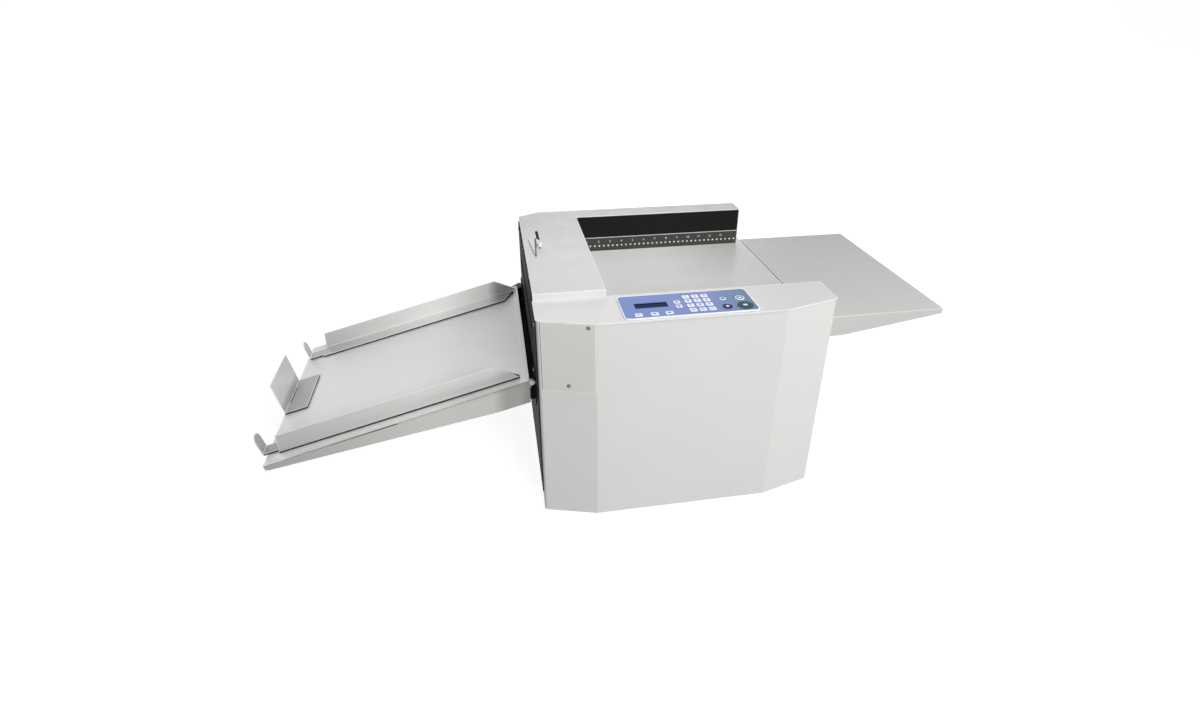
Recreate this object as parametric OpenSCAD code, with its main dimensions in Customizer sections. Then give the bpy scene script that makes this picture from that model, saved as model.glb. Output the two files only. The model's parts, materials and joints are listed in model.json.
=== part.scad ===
// Desktop sheet creaser. A sheet is fed from the flat table on the right, gripped by two roller nips
// under the bridge, creased by a rising knife, and dropped on the sloping tray on the left.
// Millimetres, +Z up. The machine stands on z = 0 and its keypad faces -Y.

/* [Body] */
// Width of the body, left to right
body_w = 504; // [470:1:620]
// Depth of the body, front to back
body_d = 520; // [500:1:640]
// Height of the sheet bed above the bench
bed_z = 330; // [320:1:380]
// Height of the console lid above the sheet bed
console_rise = 68; // [64:1:90]
// Depth of the console in front of the bed
console_d = 97; // [96:1:110]
// Width of the bridge over the rollers
bridge_w = 122; // [121:1:140]
// Height of the bridge above the console lid
bridge_step = 12; // [8:1:20]
// Depth of the housing behind the bed
rear_d = 46; // [40:1:60]
// Thickness of the folded cover sheets
sheet = 1.5; // [1.2:0.1:2]
// Radius of the bends between the cover faces
bend_r = 6; // [4:0.5:8]

/* [Infeed table] */
// Length of the table that carries the sheet on the right
table_len = 251; // [180:1:320]
// Width of that table, front to back
table_w = 408; // [340:1:440]
// Depth of the table's side walls where they meet the body
wall_deep = 40; // [30:1:50]
// Depth of the same walls at the free end
wall_shallow = 11; // [8:1:16]

/* [Delivery tray] */
// Length of the tray along its slope
tray_len = 473.2; // [420:0.1:560]
// Width of the tray, front to back
tray_w = 412; // [360:1:440]
// Slope of the tray in degrees
tray_slope = 14.7; // [8:0.1:18]
// Height of the two side guides
guide_h = 34; // [25:1:45]
// Width of a side guide's foot
guide_foot = 38.6; // [30:0.1:40]
// Height of the end stop
stop_h = 65; // [40:1:80]
// Width of the end stop
stop_w = 117; // [90:1:118]

/* [Rollers and crease] */
// Radius of the rubber rollers
roller_r = 14.9; // [12:0.1:16]
// Number of rubber sleeves on each shaft
sleeve_count = 5; // [3:1:6]
// Width of one rubber sleeve
sleeve_w = 40; // [25:1:42]
// Radius of the roller shafts and of the camshaft
shaft_r = 5; // [4:0.5:5]
// Distance from the crease knife to each roller nip, kept to whole gear teeth
nip_gap = 36; // [32:1:40]
// Rise of the crease knife
knife_rise = 6; // [5:0.5:6]
// Thickness of the crease knife
knife_t = 1.5; // [1:0.1:1.6]

/* [Keypad] */
// Height of a key's cap above the overlay
key_proud = 0.8; // [0.6:0.1:1.5]
// Travel of a key
key_travel = 0.5; // [0.3:0.1:0.5]
// Radius of the large start button
start_r = 13; // [10:0.5:13]

/* [Hidden] */
$fn = 40;

// Levels
foot_h = 12.5;
cover_z = 12;
base_t = 2.5;
base_top = foot_h + base_t;
console_top = bed_z + console_rise;
bridge_top = console_top + bridge_step;
lid_under = console_top - sheet;
bridge_under = bridge_top - sheet;
fence_y = body_d - rear_d;
rear_end_x = body_w - 14;
seam = 0.5;

// Closed outline of the body seen from above, anticlockwise
facet_w = [92, 98];
facet_in = [26, 27];
corner_cut = [43, 23];
outline = [
    [0, facet_in[0]],
    [facet_w[0], 0],
    [body_w - facet_w[1], 0],
    [body_w, facet_in[1]],
    [body_w, body_d],
    [corner_cut[0], body_d],
    [0, body_d - corner_cut[1]]
];
bend_steps = 6;
front_return = facet_in[0] + 22;
rear_return = body_d - corner_cut[1] - bend_r + 1;

// Side frames and the bed between them
frame_t = 6;
frame_x = [6, body_w - 6];
frame_low = bed_z - 2;
frame_high = lid_under - 4;
frame_right = bridge_w - 6;
front_frame_y = console_d - 2.5 - frame_t;
rear_frame_y = fence_y + sheet;
inner_y = [front_frame_y + frame_t, rear_frame_y];
bed_t = 2;
window_r = 45;

// Spur gears in front of the front frame. The module follows from the rollers, whose gears must
// mesh when the rollers meet, and the idler takes the even number of teeth nearest to the nip gap.
gear_teeth = 20;
nip_play = 0.4;
gear_slack = 0.2;
gear_module = (2 * roller_r + nip_play - gear_slack) / gear_teeth;
idler_teeth = 2 * round((2 * nip_gap / gear_module - gear_teeth) / 2);
backlash = 0.12;
pressure = 20;
hub_r = 7;

// Roller train, seen along +Y: x and z of every axis
knife_x = bridge_w / 2;
nip_span = gear_module * (gear_teeth + idler_teeth) / 2;
out_x = knife_x - nip_span;
in_x = knife_x + nip_span;
nip_rise = 1;
low_z = bed_z + nip_rise - roller_r;
high_z = low_z + 2 * roller_r + nip_play;
cam_z = bed_z - 106;
bearing_r = 10.5;
flange_r = 11.8;
flange_t = 1.8;
run_clear = 0.05;
shaft_back = rear_frame_y + frame_t + 0.3;
collar_t = 4;
nip_axes = [[out_x, low_z], [in_x, low_z], [out_x, high_z], [in_x, high_z]];
bearing_axes = concat(nip_axes, [[knife_x, cam_z]]);
sleeve_pitch = (inner_y[1] - inner_y[0] - 2 * 10 - sleeve_w) / (sleeve_count - 1);
sleeve_y = [for (k = [0 : sleeve_count - 1]) inner_y[0] + 10 + k * sleeve_pitch];

// Motors hang on four posts in front of the frame, the gears turn between them and the frame
gear_y = [front_frame_y - 10.5, front_frame_y - 2.5];
motor_side = 56.4;
motor_y = [20, front_frame_y - 12.5];
shaft_front = motor_y[1] - 14;
pinch_front = motor_y[1] + 1;
motor_post = 23.6;
motor_post_r = 3;

// Crease beam, its cams and the bar above
beam_half = 7;
tongue_half = 4;
tongue_z = [bed_z - 62, bed_z - 30];
slide_clear = 0.3;
beam_top = bed_z - 12;
knife_top = bed_z - 2.5;
matrix_z = [bed_z + 3, bed_z + 42];
matrix_half = 9;
groove = [2, 1.2];
cam_r = 14;
cam_turn = 150;
cam_w = 8;
cam_y = [inner_y[0] + 38.5, inner_y[1] - 38.5];
cam_gap = 0.35;

// Lever slot in the bridge
slot_x = [27, 33];
slot_y = [console_d + 206, console_d + 303];
lever_y = slot_y[0] + 7;
channel_x = [slot_x[0] - 9, slot_x[1] + 9];
channel_t = 1.2;
carriage_t = 2.7;

// Paper openings
mouth_z = bed_z + 11;
exit_y = [console_d + 15, fence_y - 16];
exit_z = [bed_z - 8, bed_z + 15];

// Black panel on the left. It stands proud and laps over the covers in front of and behind it.
panel_t = 2;
panel_y = [front_return - 8, rear_return + 1];
panel_z = [42, lid_under + 4];

// Keypad
overlay = [136.7, 4.6, 361.6, 88.2];
overlay_t = 1.2;
display = [160.9, 39.2, 215.5, 58.7];
board_z = console_top - 12;
board_t = 1.6;
switch_r = 3;
stem_r = 2;
key_rest = 0.2;
cap_t = overlay_t + key_proud - key_travel - key_rest;
plunger_z = lid_under - 5;
// name, x, y, half width (or radius), half depth (0 makes it round)
KEYS = [
    ["key_1", 252, 69.5, 6, 5.5],
    ["key_2", 267.9, 69.5, 6, 5.5],
    ["key_3", 283.7, 69.5, 6, 5.5],
    ["key_4", 252, 53.5, 6, 5.5],
    ["key_5", 267.9, 53.5, 6, 5.5],
    ["key_6", 283.7, 53.5, 6, 5.5],
    ["key_7", 252, 37.2, 6, 5.5],
    ["key_8", 267.9, 37.2, 6, 5.5],
    ["key_9", 283.7, 37.2, 6, 5.5],
    ["key_clear", 252, 20.3, 6, 5.5],
    ["key_0", 267.9, 20.3, 6, 5.5],
    ["key_enter", 283.7, 20.3, 6, 5.5],
    ["key_up", 232.7, 52.5, 5.3, 5],
    ["key_down", 232.7, 37.2, 5.3, 5],
    ["key_mode", 161, 16.5, 6.3, 5],
    ["key_store", 187.2, 16.5, 6.3, 5],
    ["key_recall", 211.2, 16.5, 6.3, 5],
    ["key_test", 311.7, 53.3, 5.3, 0],
    ["key_reset", 340.7, 51.8, 7.9, 0],
    ["key_stop", 310.5, 24.1, 8.3, 0],
    ["key_start", 340.8, 24.3, start_r, 0]
];

// Tray and guides, in the tray's own tilted frame
tray_x = -13;
tray_z = bed_z - 80.6;
tray_mid = (console_d + fence_y) / 2 + 3.5;
tray_y = [tray_mid - tray_w / 2, tray_mid + tray_w / 2];
end_wall = 38.7;
tip_drop = end_wall * tan(tray_slope);
wall_run = 71;
nose_w = 9;

// Hinge of the tray: its side walls turn on pins in two ears, and its end wall leans on the rail
pivot = [-9, bed_z - 80];
pin_r = 3;
ear_r = 6;
ear_t = 2;
ear_y = tray_y[0] + sheet + 0.4;
rail_z = tray_z - 33;
bracket_x = [-panel_t - 2, -panel_t];

// Guides and stop lie on magnetic pads
pad_t = 2.5;
pad_gap = 0.01;
guide_top = pad_t + guide_h;
guide_low = 24 - tray_len;
guide_high = -16;
tab_y = [7.6, 33];
tab_h = 36.5;
tab_reach = 32;
near_y = tray_y[0] + 24.4;
far_y = tray_y[1] - 24.4;
far_shift = 14;
stop_x = 1.5 - tray_len;
stop_foot = 44;
stop_lean = 3;

// Tables
table_x = body_w + 2;
table_end = table_x + table_len;
table_y = [tray_mid + 1 - table_w / 2, tray_mid + 1 + table_w / 2];
taper_start = 56;

// Back of the machine
power_x = [body_w - 108, body_w - 60];
power_z = [46, 112];
socket_z = 66;
rocker_z = 98;
rocker_y = body_d - 5.8;
rocker_tilt = 7;

// Screws: head and hole
screw_head_r = 3.5;
screw_head_t = 1.5;
screw_r = 1.95;
screw_len = 4;
panel_screws = [
    [fence_y - 86, bed_z - 125],
    [228, bed_z - 157],
    [254, panel_z[0] + 16],
    [front_return + 6, panel_z[0] + 16],
    [front_return + 6, lid_under - 20],
    [fence_y + 6, panel_z[0] + 16],
    [fence_y + 6, bridge_under - 20]
];
bracket_screws = [
    for (y = [ear_y + 20, tray_y[0] + tray_y[1] - ear_y - 20], z = [tray_z - 24, tray_z + 12]) [y, z]
];
left_screws = concat(panel_screws, bracket_screws);
right_screws = [
    [console_d + 20, 35],
    [fence_y - 20, 35],
    [console_d + 20, bed_z - 60],
    [fence_y - 20, bed_z - 60]
];
rear_screws = [
    [70, 35],
    [body_w / 2, 35],
    [body_w - 30, 35],
    [70, bridge_under - 20],
    [body_w / 2, bridge_under - 20],
    [rear_end_x - 20, bridge_under - 20]
];
plate_screws = [[82, lid_under - 6.5], [49, bed_z - 48]];
plate_span = [6, 94];
plate_z = [bed_z - 60, lid_under - 0.5];
plate_t = 1.2;
facet_turn = atan2(-facet_in[0], facet_w[0]);

// Origin: middle of the machine's bounding box, on the bench
left_reach = tray_x - (tray_len + 8) * cos(tray_slope) - (pad_t + tab_h) * sin(tray_slope);
origin = [(left_reach + table_end) / 2, body_d / 2, 0];

// Geometry helpers
function inward(a, b) = let(u = (b - a) / norm(b - a)) [-u[1], u[0]];
function before(pts, i) = pts[(i + len(pts) - 1) % len(pts)];
function after(pts, i) = pts[(i + 1) % len(pts)];
// Moves every edge of a closed outline inward by d
function inset(pts, d) = [
    for (i = [0 : len(pts) - 1])
        let(m = inward(before(pts, i), pts[i]), n = inward(pts[i], after(pts, i)))
            pts[i] + d * (m + n) / (1 + m * n)
];
// Replaces every corner of a closed convex outline by an arc
function rounded(pts, r) = [
    for (i = [0 : len(pts) - 1])
        let(
            m = inward(before(pts, i), pts[i]),
            n = inward(pts[i], after(pts, i)),
            c = pts[i] + r * (m + n) / (1 + m * n),
            start = atan2(-m[1], -m[0]),
            turn = atan2(m[0] * n[1] - m[1] * n[0], m * n)
        )
            for (k = [0 : bend_steps])
                c + r * [cos(start + turn * k / bend_steps), sin(start + turn * k / bend_steps)]
];
function box_outline(a, b) = [a, [b[0], a[1]], b, [a[0], b[1]]];

// Spur gear outline: involute flanks with backlash, a tooth centred on the given phase
function involute(r, base) = let(a = acos(min(1, base / r))) tan(a) * 180 / PI - a;
function gear_outline(teeth, phase) =
    let(
        pitch_r = gear_module * teeth / 2,
        base = pitch_r * cos(pressure),
        root = pitch_r - 1.25 * gear_module,
        tip = pitch_r + 0.95 * gear_module,
        half = 90 / teeth - backlash / pitch_r * 180 / PI + involute(pitch_r, base),
        radii = [root, base, pitch_r, (pitch_r + tip) / 2, tip]
    )
        [
            for (k = [0 : teeth - 1], side = [-1, 1], j = [0 : len(radii) - 1])
                let(
                    r = side < 0 ? radii[j] : radii[len(radii) - 1 - j],
                    a = phase + 360 * k / teeth + side * (half - involute(r, base))
                )
                    r * [cos(a), sin(a)]
        ];

// Cam outline: rises evenly over the turn that lifts the knife, then falls back
cam_lead = 20;
function cam_radius(t) =
    t <= cam_turn + cam_lead
        ? cam_r + knife_rise * t / cam_turn
        : let(
            high = cam_r + knife_rise * (cam_turn + cam_lead) / cam_turn,
            low = cam_r - knife_rise * cam_lead / cam_turn,
            f = (t - cam_turn - cam_lead) / (360 - cam_turn - 2 * cam_lead)
        )
            high + (low - high) * f;
cam_step = 5;
cam_outline = [
    for (t = [-cam_lead : cam_step : 360 - cam_lead - cam_step])
        cam_radius(t) * [cos(90 + t), sin(90 + t)]
];

module block(a, b) {
    translate(a) cube(b - a);
}

module plate_xz(pts, y0, y1) {
    translate([0, y1, 0]) rotate([90, 0, 0]) linear_extrude(y1 - y0) polygon(pts);
}

module plate_yz(pts, x0, x1) {
    translate([x0, 0, 0]) rotate([90, 0, 90]) linear_extrude(x1 - x0) polygon(pts);
}

module plate_xy(pts, z0, z1) {
    translate([0, 0, z0]) linear_extrude(z1 - z0) polygon(pts);
}

module rod_y(r, y0, y1, x, z) {
    translate([x, y1, z]) rotate([90, 0, 0]) cylinder(r = r, h = y1 - y0);
}

module rod_x(r, x0, x1, y, z) {
    translate([x0, y, z]) rotate([0, 90, 0]) cylinder(r = r, h = x1 - x0);
}

module rod_z(r, x, y, z0, z1) {
    translate([x, y, z0]) cylinder(r = r, h = z1 - z0);
}

// Folded sheet that follows the body's outline
module skin(z0, z1) {
    translate([0, 0, z0]) linear_extrude(z1 - z0) difference() {
        polygon(rounded(outline, bend_r));
        polygon(rounded(inset(outline, sheet), bend_r - sheet));
    }
}

// Tray frame: x runs down the slope as negative values, z stands on the pan
module on_tray() {
    translate([tray_x, 0, tray_z]) rotate([0, -tray_slope, 0]) children();
}

// Left facet frame: x runs along the facet, -y points out of it
module on_facet() {
    translate([0, facet_in[0], 0]) rotate([0, 0, facet_turn]) children();
}

// The near side of the tray's hinge and its mirror image on the far side
module both_sides() {
    children();
    translate([0, tray_y[0] + tray_y[1], 0]) mirror([0, 1, 0]) children();
}

// One button-head screw, its shank pointing along -Z from the seat
module screw() {
    translate([0, 0, -screw_len]) cylinder(r = screw_r, h = screw_len);
    difference() {
        rotate_extrude() polygon([
            [0, 0], [screw_head_r, 0], [screw_head_r, 0.5], [screw_head_r - 0.8, 1.2],
            [screw_head_r - 2, screw_head_t], [0, screw_head_t]
        ]);
        translate([0, 0, screw_head_t - 0.7]) cylinder(r = 1.2, h = 1, $fn = 6);
    }
}

module left_holes() {
    for (p = left_screws) rod_x(screw_r + run_clear, -panel_t - 1, 1, p[0], p[1]);
}

// Stamped plate with a flange behind the lower edge of the left panel
module base_plate() {
    color("darkgray") difference() {
        union() {
            plate_xy(rounded(inset(outline, sheet), bend_r - sheet), foot_h, base_top);
            block([0, front_return, foot_h], [sheet + 1, rear_return, base_top]);
            block([0, front_return, foot_h], [sheet, rear_return, panel_z[0] + 8]);
        }
        for (k = [0 : 6]) {
            translate([150 + 14 * k, body_d / 2 - 40, foot_h - 1]) cube([3, 80, base_t + 2]);
        }
    }
}

module feet() {
    color("dimgray") for (x = [60, body_w - 60], y = [75, body_d - 60]) {
        translate([x, y, 0]) cylinder(r1 = 13, r2 = 15, h = 3);
        translate([x, y, 3]) cylinder(r = 15, h = foot_h - 3);
    }
}

frame_outline = [
    [frame_x[0], base_top],
    [frame_x[1], base_top],
    [frame_x[1], frame_low],
    [frame_right, frame_low],
    [frame_right, frame_high],
    [frame_x[0], frame_high]
];

// Side frame with its bearing seats, the guide slot of the crease beam and three light windows
module side_frame(y0) {
    difference() {
        plate_xz(frame_outline, y0, y0 + frame_t);
        for (p = bearing_axes) rod_y(bearing_r + run_clear, y0 - 1, y0 + frame_t + 1, p[0], p[1]);
        block(
            [knife_x - tongue_half - slide_clear, y0 - 1, tongue_z[0] - slide_clear],
            [knife_x + tongue_half + slide_clear, y0 + frame_t + 1, tongue_z[1] + knife_rise + slide_clear]
        );
        for (x = [body_w * 0.4, body_w * 0.62, body_w * 0.84]) {
            rod_y(window_r, y0 - 1, y0 + frame_t + 1, x, 120);
        }
    }
}

// The idler's shoulder bolt stands in the front frame
module front_frame() {
    color("lightsteelblue") {
        side_frame(front_frame_y);
        rod_y(shaft_r, front_frame_y - 11.5, front_frame_y + 1, knife_x, low_z);
        rod_y(hub_r, front_frame_y - 12.1, front_frame_y - 10.8, knife_x, low_z);
        rod_y(hub_r, front_frame_y - 2.2, front_frame_y + 1, knife_x, low_z);
    }
}

module rear_frame() {
    color("lightsteelblue") side_frame(rear_frame_y);
}

tie_axes = [
    [16, frame_high - 12],
    [frame_right - 10, frame_high - 12],
    [20, 45],
    [body_w - 20, 45],
    [body_w - 22, bed_z - 36],
    [body_w / 2 + 20, bed_z - 130]
];

module tie_bars() {
    color("silver") for (p = tie_axes) rod_y(6, inner_y[0], inner_y[1], p[0], p[1]);
}

module front_cover() {
    color("whitesmoke") difference() {
        intersection() {
            skin(cover_z, lid_under);
            union() {
                block([-1, -1, 0], [facet_w[0], front_return, console_top]);
                block([facet_w[0] - 1, -1, 0], [body_w + 1, console_d - seam, console_top]);
            }
        }
        on_facet() block([18, -1, plate_z[0] + 22], [82, sheet + 1, plate_z[1] - 24]);
        on_facet() block(
            [plate_span[0] - 1.4, -1, plate_z[0] + 1],
            [plate_span[0] - 0.2, sheet + 1, plate_z[1] - 1]
        );
        on_facet() for (p = plate_screws) rod_y(screw_r + run_clear, -1, sheet + 1, p[0], p[1]);
    }
}

module console_lid() {
    color("whitesmoke") difference() {
        union() {
            intersection() {
                plate_xy(rounded(inset(outline, -sheet), bend_r + sheet), lid_under, console_top);
                block([-2 * sheet, -2 * sheet, 0], [body_w + 2 * sheet, console_d, bridge_top]);
            }
            block([bridge_w, console_d - sheet, bed_z], [body_w - sheet, console_d, console_top]);
            block(
                [body_w, facet_in[1] + bend_r, lid_under - 12],
                [body_w + sheet, console_d, console_top]
            );
        }
        block(
            [display[0] - 1, display[1] - 1, lid_under - 1],
            [display[2] + 1, display[3] + 1, console_top + 1]
        );
        for (k = KEYS) rod_z(stem_r + 0.3, k[1], k[2], lid_under - 1, console_top + 1);
        block([-2 * sheet, console_d - seam, lid_under - 1], [bridge_w, console_d + 1, console_top + 1]);
    }
}

module inspection_plate() {
    color("gainsboro") on_facet() difference() {
        block([plate_span[0], -plate_t, plate_z[0]], [plate_span[1], 0, plate_z[1]]);
        for (p = plate_screws) rod_y(screw_r + run_clear, -plate_t - 1, 1, p[0], p[1]);
    }
}

// Rear housing and bridge share one L-shaped top sheet
module bridge_cover() {
    color("whitesmoke") {
        difference() {
            intersection() {
                plate_xy(rounded(outline, bend_r), bridge_under, bridge_top);
                union() {
                    block([-1, console_d, 0], [bridge_w, body_d + 1, bridge_top + 1]);
                    block([-1, fence_y, 0], [rear_end_x, body_d + 1, bridge_top + 1]);
                }
            }
            block(
                [slot_x[0], slot_y[0], bridge_under - 1],
                [slot_x[1], slot_y[1], bridge_top + 1]
            );
        }
        block([0, console_d, lid_under], [bridge_w, console_d + sheet, bridge_under]);
        block([0, console_d, lid_under], [sheet, rear_return, bridge_under]);
        block([bridge_w - sheet, console_d, mouth_z], [bridge_w, fence_y + sheet, bridge_under]);
        block([rear_end_x - sheet, fence_y, bed_z], [rear_end_x, body_d - sheet, bridge_under]);
        difference() {
            block(
                [channel_x[0], slot_y[0] - 10, bridge_under - carriage_t - 0.6 - channel_t],
                [channel_x[1], slot_y[1] + 10, bridge_under]
            );
            block(
                [channel_x[0] + channel_t, slot_y[0] - 11, bridge_under - carriage_t - 0.6],
                [channel_x[1] - channel_t, slot_y[1] + 11, bridge_under + 1]
            );
        }
    }
}

module rear_fence() {
    color("black") block([bridge_w, fence_y, bed_z], [rear_end_x - sheet, fence_y + sheet, bridge_under]);
}

module scale_strip() {
    color("silver") block([bridge_w + 4, fence_y - 0.8, bed_z], [rear_end_x - 3, fence_y, bed_z + 31]);
}

module rear_cover() {
    color("gainsboro") difference() {
        union() {
            intersection() {
                skin(cover_z + 2, bed_z - bed_t);
                union() {
                    block([-1, rear_return, 0], [body_w + 1, body_d + 1, bed_z]);
                    block([body_w / 2, console_d, 0], [body_w + 1, body_d + 1, bed_z]);
                }
            }
            intersection() {
                skin(bed_z - bed_t - 1, bridge_under);
                block([-1, rear_return, 0], [rear_end_x, body_d + 1, bridge_top]);
            }
        }
        block([power_x[0] + 3, body_d - 5, power_z[0] + 3], [power_x[1] - 3, body_d + 5, power_z[1] - 3]);
        for (p = rear_screws) rod_y(screw_r + run_clear, body_d - 5, body_d + 5, p[0], p[1]);
        for (p = right_screws) rod_x(screw_r + run_clear, body_w - 5, body_w + 5, p[0], p[1]);
        for (k = [0 : 13]) {
            block(
                [110 + 9 * k, body_d - 5, bed_z - 120],
                [113 + 9 * k, body_d + 5, bed_z - 70]
            );
        }
    }
}

module left_panel() {
    color("black") difference() {
        plate_yz([
            [panel_y[0], panel_z[0]],
            [panel_y[1], panel_z[0]],
            [panel_y[1], panel_z[1]],
            [console_d, panel_z[1]],
            [console_d, lid_under - 1],
            [panel_y[0], lid_under - 1]
        ], -panel_t, 0);
        block([-panel_t - 1, exit_y[0], exit_z[0]], [1, exit_y[1], exit_z[1]]);
        left_holes();
    }
}

// Bed plate with a window over every lower sleeve and the slot of the knife
window_rise = roller_r - nip_rise - bed_t;
window_half = sqrt(roller_r * roller_r - window_rise * window_rise) + 2;
module infeed_table() {
    color("gainsboro") difference() {
        union() {
            block([0, inner_y[0], bed_z - bed_t], [body_w, inner_y[1], bed_z]);
            block([rear_end_x, inner_y[1] - 1, bed_z - bed_t], [body_w, body_d, bed_z]);
            for (y = [inner_y[0], inner_y[1] - bed_t]) {
                block([bridge_w + 20, y, bed_z - 22], [body_w - 40, y + bed_t, bed_z - 1]);
            }
        }
        for (x = [out_x, in_x], y = sleeve_y) {
            block([x - window_half, y - 3, bed_z - 5], [x + window_half, y + sleeve_w + 3, bed_z + 5]);
        }
        block(
            [knife_x - 2, inner_y[0] + 8, bed_z - 5],
            [knife_x + 2, inner_y[1] - 8, bed_z + 5]
        );
        block([body_w - sheet, inner_y[0] - 1, 0], [body_w + 1, console_d - seam, bed_z + 1]);
    }
}

// Side wall of a table: deep at the body, shallow at the free end
function table_wall(run) = [
    [0, 0],
    [run, 0],
    [run, -wall_shallow + 4],
    [run - 4, -wall_shallow],
    [taper_start, -wall_deep],
    [0, -wall_deep]
];

module extension_table() {
    color("gainsboro") {
        block([table_x, table_y[0], bed_z - sheet], [table_end, table_y[1], bed_z]);
        for (y = [table_y[0], table_y[1] - sheet]) {
            translate([table_x, 0, bed_z]) plate_xz(table_wall(table_len), y, y + sheet);
        }
        block([table_x, table_y[0], bed_z - wall_deep], [table_x + sheet, table_y[1], bed_z]);
        block([table_end - sheet, table_y[0], bed_z - wall_shallow], [table_end, table_y[1], bed_z]);
        for (y = [table_y[0] + 50, table_y[1] - 50]) {
            rod_x(6, body_w, table_x + sheet, y, bed_z - 20);
        }
    }
}

module case_screws() {
    color("silver") {
        for (p = panel_screws) translate([-panel_t, p[0], p[1]]) rotate([0, -90, 0]) screw();
        for (p = bracket_screws) translate([bracket_x[0], p[0], p[1]]) rotate([0, -90, 0]) screw();
        for (p = right_screws) translate([body_w, p[0], p[1]]) rotate([0, 90, 0]) screw();
        for (p = rear_screws) translate([p[0], body_d, p[1]]) rotate([-90, 0, 0]) screw();
        on_facet() for (p = plate_screws) {
            translate([p[0], -plate_t, p[1]]) rotate([90, 0, 0]) screw();
        }
    }
}

module key_outline(k, grow) {
    translate([k[1], k[2]]) if (k[4] == 0) {
        circle(r = k[3] + grow);
    } else {
        polygon(rounded(box_outline([-k[3] - grow, -k[4] - grow], [k[3] + grow, k[4] + grow]), 1.5));
    }
}

module control_overlay() {
    color("steelblue") translate([0, 0, console_top]) linear_extrude(overlay_t) difference() {
        polygon(rounded(box_outline([overlay[0], overlay[1]], [overlay[2], overlay[3]]), 9));
        polygon(box_outline([display[0], display[1]], [display[2], display[3]]));
        for (k = KEYS) key_outline(k, 0.3);
    }
}

// Display on the board that also carries one switch under every key
module display_module() {
    color("darkslateblue") block(
        [display[0] - 0.7, display[1] - 0.7, board_z + board_t],
        [display[2] + 0.7, display[3] + 0.7, console_top]
    );
    color("green") {
        block([overlay[0] + 4, overlay[1] + 4, board_z], [overlay[2] - 4, overlay[3] - 4, board_z + board_t]);
        for (k = KEYS) rod_z(switch_r, k[1], k[2], board_z + 1, plunger_z - key_travel - key_rest);
        for (x = [overlay[0] + 9, overlay[2] - 9], y = [overlay[1] + 8, overlay[3] - 8]) {
            rod_z(switch_r, x, y, board_z + 1, lid_under);
        }
    }
}

module key(k) {
    cap_z = console_top + overlay_t + key_proud - cap_t;
    color(k[0] == "key_start" ? "green" : k[0] == "key_stop" ? "darkred" : "white") {
        translate([0, 0, cap_z]) linear_extrude(cap_t) key_outline(k, 0);
        rod_z(stem_r, k[1], k[2], plunger_z + 1, cap_z + 0.5);
        rod_z(switch_r, k[1], k[2], plunger_z, plunger_z + 1.5);
    }
}

// A flanged bearing for every shaft end
module frame_bearings() {
    color("silver") for (p = bearing_axes, side = [0, 1]) {
        y = side == 0 ? front_frame_y : rear_frame_y;
        flange_y = side == 0 ? inner_y[0] : inner_y[1] - flange_t;
        difference() {
            union() {
                rod_y(bearing_r, y, y + frame_t, p[0], p[1]);
                rod_y(flange_r, flange_y, flange_y + flange_t, p[0], p[1]);
            }
            rod_y(shaft_r + run_clear, y - 5, y + frame_t + 5, p[0], p[1]);
        }
    }
}

// Beam on two legs that stand on the cams, guided by a tongue at each end
module crease_beam() {
    foot_z = cam_z + cam_r + cam_gap;
    color("steelblue") difference() {
        union() {
            block(
                [knife_x - beam_half, inner_y[0] + 4, tongue_z[0]],
                [knife_x + beam_half, inner_y[1] - 4, beam_top]
            );
            block(
                [knife_x - tongue_half, front_frame_y, tongue_z[0]],
                [knife_x + tongue_half, rear_frame_y + frame_t, tongue_z[1]]
            );
            for (y = cam_y) {
                block(
                    [knife_x - beam_half, y - cam_w, foot_z],
                    [knife_x + beam_half, y + cam_w, tongue_z[0] + 1]
                );
            }
        }
        block(
            [knife_x - knife_t / 2, inner_y[0], beam_top - 8],
            [knife_x + knife_t / 2, inner_y[1], beam_top + 1]
        );
    }
}

module crease_knife() {
    color("silver") block(
        [knife_x - knife_t / 2, inner_y[0] + 12, beam_top - 8],
        [knife_x + knife_t / 2, inner_y[1] - 12, knife_top]
    );
}

module matrix_bar() {
    color("steelblue") difference() {
        block(
            [knife_x - matrix_half, inner_y[0], matrix_z[0]],
            [knife_x + matrix_half, inner_y[1], matrix_z[1]]
        );
        block(
            [knife_x - groove[0] / 2, inner_y[0] - 1, matrix_z[0] - 1],
            [knife_x + groove[0] / 2, inner_y[1] + 1, matrix_z[0] + groove[1]]
        );
    }
}

module camshaft() {
    color("silver") {
        rod_y(shaft_r, shaft_front, shaft_back + collar_t, knife_x, cam_z);
        rod_y(hub_r, shaft_back, shaft_back + collar_t, knife_x, cam_z);
        for (y = cam_y) translate([knife_x, 0, cam_z]) {
            plate_xz(cam_outline, y - cam_w / 2, y + cam_w / 2);
        }
    }
}

// Two equal motors, one for the feed and one for the cams; each holds its shaft in a bore
module drive_motors() {
    color("dimgray") for (p = [[in_x, low_z], [knife_x, cam_z]]) difference() {
        union() {
            plate_xz(
                rounded(
                    box_outline(p - [1, 1] * motor_side / 2, p + [1, 1] * motor_side / 2),
                    4
                ),
                motor_y[0],
                motor_y[1]
            );
            for (i = [-1, 1], j = [-1, 1]) {
                rod_y(
                    motor_post_r, motor_y[1] - 1, front_frame_y,
                    p[0] + i * motor_post, p[1] + j * motor_post
                );
            }
        }
        rod_y(shaft_r + run_clear, shaft_front - 2, motor_y[1] + 1, p[0], p[1]);
    }
}

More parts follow.
